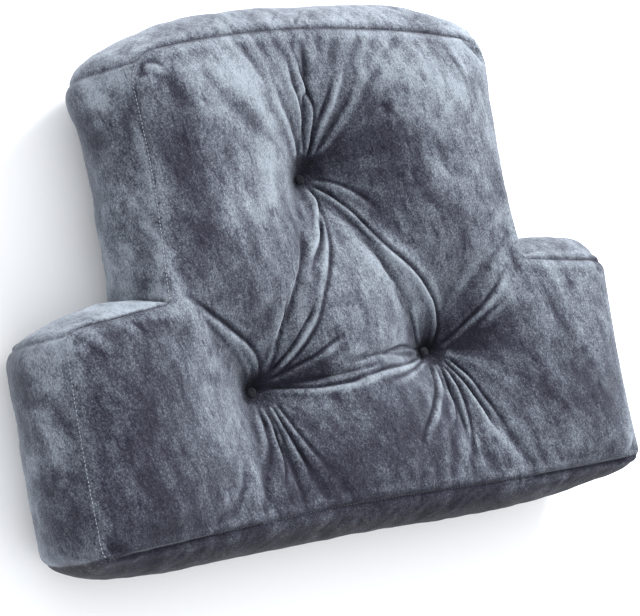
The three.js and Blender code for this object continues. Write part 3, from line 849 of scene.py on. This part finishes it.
# the bottom strip takes the shaded copy of the velvet, with little sheen: painted shade
face_u, face_v = np.abs(pu[quads]).max(axis=1), pv[quads].max(axis=1)
shaded_strip = (face_panel == PANEL_BOXING) & (face_v < 1) & (face_u < HALF_ARM + 1)
front = make_piece("cushion_front", PANEL_FRONT, attributes)
boxing = make_piece("cushion_boxing", PANEL_BOXING, attributes)
back = make_piece("cushion_back", PANEL_BACK, attributes)


# ---------------------------------------------------------------- stitches that show along the front seam
STITCH_PITCH = 3.2
STITCH_LENGTH = 2.1
STITCH_RADIUS = 0.34
STITCH_SIDES = 6


def seam_loop(panel_id, other_id):
    """The fine points along the seam between two panels, in order round the cushion."""
    both = np.intersect1d(quads[face_panel == panel_id], quads[face_panel == other_id])
    shared = np.zeros(count, bool)
    shared[both] = True
    following = {}
    for face in quads[face_panel == panel_id]:
        for k in range(4):
            a, b = int(face[k]), int(face[(k + 1) % 4])
            if shared[a] and shared[b]:
                following[a] = b
    loop = [next(iter(following))]
    while following[loop[-1]] != loop[0] and len(loop) <= len(following):
        loop.append(following[loop[-1]])
    return np.array(loop)


def stitches(name, loop):
    """Small rounded threads laid end to end along the loop, each dipping into the cloth at its ends."""
    normals = normals_of(co)[loop]
    at = co[loop]
    # the thread is painted lighter along the smooth side seams and darker in the drawn-in seams: painted light and
    # shade
    side = 1 - level[loop]
    step = np.linalg.norm(np.roll(at, -1, axis=0) - at, axis=1)
    reached = np.concatenate([[0], np.cumsum(step)])
    total = reached[-1]
    closed = lambda values: np.concatenate([values, values[:1]])

    def sample(values, where):
        values = closed(values)
        if values.ndim == 1:
            return np.interp(where % total, reached, values)
        return np.stack([np.interp(where % total, reached, values[:, c]) for c in range(values.shape[1])], axis=1)

    number = int(total / STITCH_PITCH)
    middles = (np.arange(number) + 0.5) * total / number
    middles = middles + 0.25 * noise3(middles / 7.0, 0.2, 0.6, 151)
    profile = [(-0.5, 0.35), (-0.36, 0.85), (0.0, 1.0), (0.36, 0.85), (0.5, 0.35)]
    verts, polys, light = [], [], []
    for m in middles:
        where = m + STITCH_LENGTH * np.array([p for p, _ in profile])
        line = sample(at, where)
        up = sample(normals, where)
        up /= np.linalg.norm(up, axis=1, keepdims=True)
        ahead = line[-1] - line[0]
        ahead /= np.linalg.norm(ahead)
        first = len(verts)
        for k, (_, thick) in enumerate(profile):
            across = np.cross(ahead, up[k])
            across /= np.linalg.norm(across)
            top = np.cross(across, ahead)
            middle = line[k] + up[k] * (0.42 * thick - 0.12)
            for q in range(STITCH_SIDES):
                a = 2 * math.pi * q / STITCH_SIDES
                verts.append(middle + STITCH_RADIUS * thick * (math.cos(a) * across + math.sin(a) * top))
        for k in range(len(profile) - 1):
            for q in range(STITCH_SIDES):
                a, b = first + k * STITCH_SIDES + q, first + k * STITCH_SIDES + (q + 1) % STITCH_SIDES
                polys.append((a, b, b + STITCH_SIDES, a + STITCH_SIDES))
        last = first + (len(profile) - 1) * STITCH_SIDES
        polys.append(tuple(first + q for q in reversed(range(STITCH_SIDES))))
        polys.append(tuple(last + q for q in range(STITCH_SIDES)))
        light += [float(sample(side, np.array([m]))[0])] * (len(profile) * STITCH_SIDES)
    obj = mesh_object(name, verts, polys)
    obj.data.polygons.foreach_set("use_smooth", np.ones(len(obj.data.polygons), bool))
    point_attribute(obj.data, "side_seam", light)
    return obj


front_stitches = stitches("front_seam_stitches", seam_loop(PANEL_FRONT, PANEL_BOXING))


def lathe(name, profile, steps, centre):
    verts, polys = [], []
    for r, h in profile[1:-1]:
        for k in range(steps):
            a = 2 * math.pi * k / steps
            verts.append((centre[0] + r * math.cos(a), centre[1] + r * math.sin(a), centre[2] + h))
    rows = len(profile) - 2
    for r in range(rows - 1):
        for k in range(steps):
            a, b = r * steps + k, r * steps + (k + 1) % steps
            polys.append((a, b, b + steps, a + steps))
    verts.append((centre[0], centre[1], centre[2] + profile[0][1]))
    verts.append((centre[0], centre[1], centre[2] + profile[-1][1]))
    for k in range(steps):
        polys.append((len(verts) - 2, (k + 1) % steps, k))
        polys.append((len(verts) - 1, (rows - 1) * steps + k, (rows - 1) * steps + (k + 1) % steps))
    obj = mesh_object(name, verts, polys)
    obj.data.polygons.foreach_set("use_smooth", np.ones(len(obj.data.polygons), bool))
    return obj


BUTTON_PROFILE = [(0, 0), (0.77, 0), (0.96, 0.17), (1, 0.37), (0.96, 0.58), (0.83, 0.77), (0.61, 0.9), (0.35, 0.98), (0.13, 1), (0, 0.98)]
buttons = {}
for name in TUFTS:
    low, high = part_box("tuft_button_" + name)
    centre = ((low[0] + high[0]) / 2 / MM, (low[1] + high[1]) / 2 / MM, low[2] / MM)
    profile = [(r * BUTTON_RADIUS, h * BUTTON_HEIGHT) for r, h in BUTTON_PROFILE]
    buttons[name] = lathe("button_" + name, profile, 40, centre)

# ---------------------------------------------------------------- materials
def new_material(name):
    material = bpy.data.materials.new(name)
    material.use_nodes = True
    tree = material.node_tree
    return material, tree, tree.nodes["Principled BSDF"]


def link(tree, a, out, b, socket):
    tree.links.new(a.outputs[out], b.inputs[socket])


def maths(tree, operation, a, b=None, c=None):
    node = tree.nodes.new("ShaderNodeMath")
    node.operation = operation
    for k, value in enumerate((a, b, c)):
        if value is None:
            continue
        if isinstance(value, (int, float)):
            node.inputs[k].default_value = value
        else:
            tree.links.new(value, node.inputs[k])
    return node.outputs[0]


def noise(tree, where, scale, detail, roughness=0.5, distortion=0.0):
    node = tree.nodes.new("ShaderNodeTexNoise")
    node.inputs["Scale"].default_value = scale
    node.inputs["Detail"].default_value = detail
    node.inputs["Roughness"].default_value = roughness
    node.inputs["Distortion"].default_value = distortion
    tree.links.new(where, node.inputs["Vector"])
    return node.outputs["Fac"]


def stretched(tree, where, across, down, up):
    """The coordinates turned to the way the pile was brushed, and stretched along it."""
    parts = tree.nodes.new("ShaderNodeCombineXYZ")
    for k, (direction, size) in enumerate((((0.963, 0.266, 0.0), across), ((0.266, -0.963, 0.0), down), ((0.0, 0.0, 1.0), up))):
        dot = tree.nodes.new("ShaderNodeVectorMath")
        dot.operation = "DOT_PRODUCT"
        tree.links.new(where, dot.inputs[0])
        dot.inputs[1].default_value = [c * size for c in direction]
        tree.links.new(dot.outputs["Value"], parts.inputs[k])
    return parts.outputs["Vector"]


def velvet(name, stops, shift=0.0, sheen=0.5):
    material, tree, shader = new_material(name)
    where = tree.nodes.new("ShaderNodeTexCoord").outputs["Object"]
    # the pile's lean, with painted light and shade mixed in, sets the tone
    pile_and_painted_light = tree.nodes.new("ShaderNodeAttribute")
    pile_and_painted_light.attribute_name = "nap_and_painted_light"
    streaky = stretched(tree, where, 1.0, 0.30, 0.6)
    medium = noise(tree, streaky, 85, 4, 0.62, 0.5)
    strokes = noise(tree, streaky, 230, 2, 0.5, 0.3)
    strokes = maths(tree, "MAXIMUM", maths(tree, "SUBTRACT", strokes, 0.56), 0.0)
    tufts_of_pile = noise(tree, stretched(tree, where, 1.0, 0.6, 1.0), 330, 3, 0.6)
    grain = noise(tree, where, 900, 3, 0.8, 0.6)
    value = maths(tree, "MULTIPLY_ADD", pile_and_painted_light.outputs["Fac"], 0.27, 0.51 + shift)
    value = maths(tree, "ADD", value, maths(tree, "MULTIPLY", maths(tree, "SUBTRACT", medium, 0.5), 0.38))
    value = maths(tree, "ADD", value, maths(tree, "MULTIPLY", strokes, -0.9))
    value = maths(tree, "ADD", value, maths(tree, "MULTIPLY", maths(tree, "SUBTRACT", tufts_of_pile, 0.5), 0.34))
    value = maths(tree, "ADD", value, maths(tree, "MULTIPLY", maths(tree, "SUBTRACT", grain, 0.5), 1.15))
    ends = noise(tree, stretched(tree, where, 1.0, 0.55, 1.0), 760, 1, 0.5)
    value = maths(tree, "ADD", value, maths(tree, "MULTIPLY", maths(tree, "SUBTRACT", ends, 0.5), 0.48))
    ramp = tree.nodes.new("ShaderNodeValToRGB")
    ramp.color_ramp.interpolation = "B_SPLINE"
    while len(ramp.color_ramp.elements) < len(stops):
        ramp.color_ramp.elements.new(0.5)
    for element, (position, colour) in zip(ramp.color_ramp.elements, stops):
        element.position = position
        element.color = (*colour, 1)
    tree.links.new(value, ramp.inputs["Fac"])
    # the brownish tint: painted shade on the bottom strip and the back
    tint = tree.nodes.new("ShaderNodeAttribute")
    tint.attribute_name = "shade_warmth"
    warmer = tree.nodes.new("ShaderNodeMix")
    warmer.data_type = "RGBA"
    warmer.blend_type = "MULTIPLY"
    tree.links.new(tint.outputs["Fac"], warmer.inputs["Factor"])
    tree.links.new(ramp.outputs["Color"], warmer.inputs["A"])
    warmer.inputs["B"].default_value = (0.92, 0.84, 0.74, 1)
    shaded = tree.nodes.new("ShaderNodeMix")
    shaded.data_type = "RGBA"
    shaded.blend_type = "MULTIPLY"
    pit = tree.nodes.new("ShaderNodeAttribute")
    pit.attribute_name = "deep"
    tree.links.new(pit.outputs["Fac"], shaded.inputs["Factor"])
    tree.links.new(warmer.outputs["Result"], shaded.inputs["A"])
    shaded.inputs["B"].default_value = (0.22, 0.22, 0.25, 1)
    tree.links.new(shaded.outputs["Result"], shader.inputs["Base Color"])
    bump = tree.nodes.new("ShaderNodeBump")
    bump.inputs["Strength"].default_value = 0.55
    bump.inputs["Distance"].default_value = 0.0007
    height = maths(tree, "ADD", grain, maths(tree, "MULTIPLY", tufts_of_pile, 1.2))
    tree.links.new(height, bump.inputs["Height"])
    tree.links.new(bump.outputs["Normal"], shader.inputs["Normal"])
    shader.inputs["Roughness"].default_value = 0.9
    shader.inputs["Specular IOR Level"].default_value = 0.12
    shader.inputs["Sheen Weight"].default_value = sheen
    shader.inputs["Sheen Roughness"].default_value = 0.35
    shader.inputs["Sheen Tint"].default_value = (0.70, 0.77, 0.86, 1)
    return material


VELVET_STOPS = [(0.14, (0.010, 0.010, 0.017)), (0.40, (0.031, 0.032, 0.046)), (0.64, (0.096, 0.106, 0.129)), (0.92, (0.246, 0.278, 0.316))]
cover_velvet = velvet("crushed_velvet", VELVET_STOPS)
# the buttons take the velvet darkened to a fifth, with little sheen: painted shade of the pits they sit in
button_velvet = velvet("button_velvet", [(p, tuple(c * 0.2 for c in colour)) for p, colour in VELVET_STOPS], sheen=0.05)
thread, tree, shader = new_material("seam_thread")
where = tree.nodes.new("ShaderNodeTexCoord").outputs["Object"]
on_side = tree.nodes.new("ShaderNodeAttribute")
on_side.attribute_name = "side_seam"
# the thread lighter on the side seams, darker on the others: painted light and shade
shade = maths(tree, "MULTIPLY_ADD", on_side.outputs["Fac"], 0.62, maths(tree, "MULTIPLY", noise(tree, where, 160, 2, 0.6), 0.5))
ramp = tree.nodes.new("ShaderNodeValToRGB")
for element, (position, colour) in zip(ramp.color_ramp.elements, [(0.15, (0.020, 0.020, 0.029)), (0.95, (0.270, 0.295, 0.330))]):
    element.position = position
    element.color = (*colour, 1)
tree.links.new(shade, ramp.inputs["Fac"])
tree.links.new(ramp.outputs["Color"], shader.inputs["Base Color"])
twist = tree.nodes.new("ShaderNodeBump")
twist.inputs["Strength"].default_value = 0.4
twist.inputs["Distance"].default_value = 0.0002
tree.links.new(noise(tree, where, 3200, 1, 0.5), twist.inputs["Height"])
tree.links.new(twist.outputs["Normal"], shader.inputs["Normal"])
shader.inputs["Roughness"].default_value = 0.65
front_stitches.data.materials.append(thread)
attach(front_stitches, "root")
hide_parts("cushion_body")
shaded_velvet = velvet("crushed_velvet_shaded_side", VELVET_STOPS, sheen=0.12)
for piece in (front, boxing, back):
    piece.data.materials.append(cover_velvet)
    piece.data.materials.append(shaded_velvet)
    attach(piece, "root")
    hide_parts("cushion_body")
for name, piece in buttons.items():
    piece.data.materials.append(button_velvet)
    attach(piece, "root")
    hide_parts("tuft_button_" + name)

# ---------------------------------------------------------------- floor, light, camera
floor = mesh_object("floor", [(-4000, -4000, 0), (4000, -4000, 0), (4000, 4000, 0), (-4000, 4000, 0)], [(0, 1, 2, 3)])
floor_material, tree, shader = new_material("pale_floor")
shader.inputs["Base Color"].default_value = (0.93, 0.93, 0.93, 1)
shader.inputs["Roughness"].default_value = 0.9
floor.data.materials.append(floor_material)

world = bpy.data.worlds.new("studio")
bpy.context.scene.world = world
world.use_nodes = True
world.node_tree.nodes["Background"].inputs[0].default_value = (0.95, 0.97, 1.0, 1)
world.node_tree.nodes["Background"].inputs[1].default_value = 1.42


def softbox(name, location, target, size, power, colour=(1, 1, 1)):
    light = bpy.data.lights.new(name, "AREA")
    light.shape = "SQUARE"
    light.size = size
    light.energy = power
    light.color = colour
    obj = bpy.data.objects.new(name, light)
    bpy.context.scene.collection.objects.link(obj)
    obj.location = location
    obj.rotation_euler = (Vector(target) - Vector(location)).to_track_quat("-Z", "Y").to_euler()
    return obj


softbox("key", (1.15, 1.2, 1.05), (0, 0, 0.05), 0.7, 68)

# The photograph's angle: from the cushion's left, a little below the middle, 1.6 m away
CAMERA_AXES = np.array(
    [
        [0.80772239, -0.17758503, 0.56218155],
        [-0.11121752, -0.98233244, -0.15051127],
        [0.57897772, 0.05904689, -0.81320247],
    ]
)  # rows: image right, image down, forwards
CAMERA_AT = np.array([-945.876 - 4.0 + SHIFT_X, 76.080 + SHIFT_Y, 1265.613 + FRONT_SEAM + 4.0])
FOCAL_PIXELS = 1876.115

camera_data = bpy.data.cameras.new("camera")
camera = bpy.data.objects.new("camera", camera_data)
bpy.context.scene.collection.objects.link(camera)
pose = np.eye(4)
pose[:3, :3] = CAMERA_AXES.T @ np.diag([1.0, -1.0, -1.0])
pose[:3, 3] = CAMERA_AT * MM
camera.matrix_world = Matrix(pose.tolist())
camera_data.sensor_fit = "HORIZONTAL"
camera_data.sensor_width = 36.0
camera_data.lens = FOCAL_PIXELS / 640 * 36.0
camera_data.clip_start = 0.01
bpy.context.scene.camera = camera
bpy.context.scene.view_settings.view_transform = "Standard"
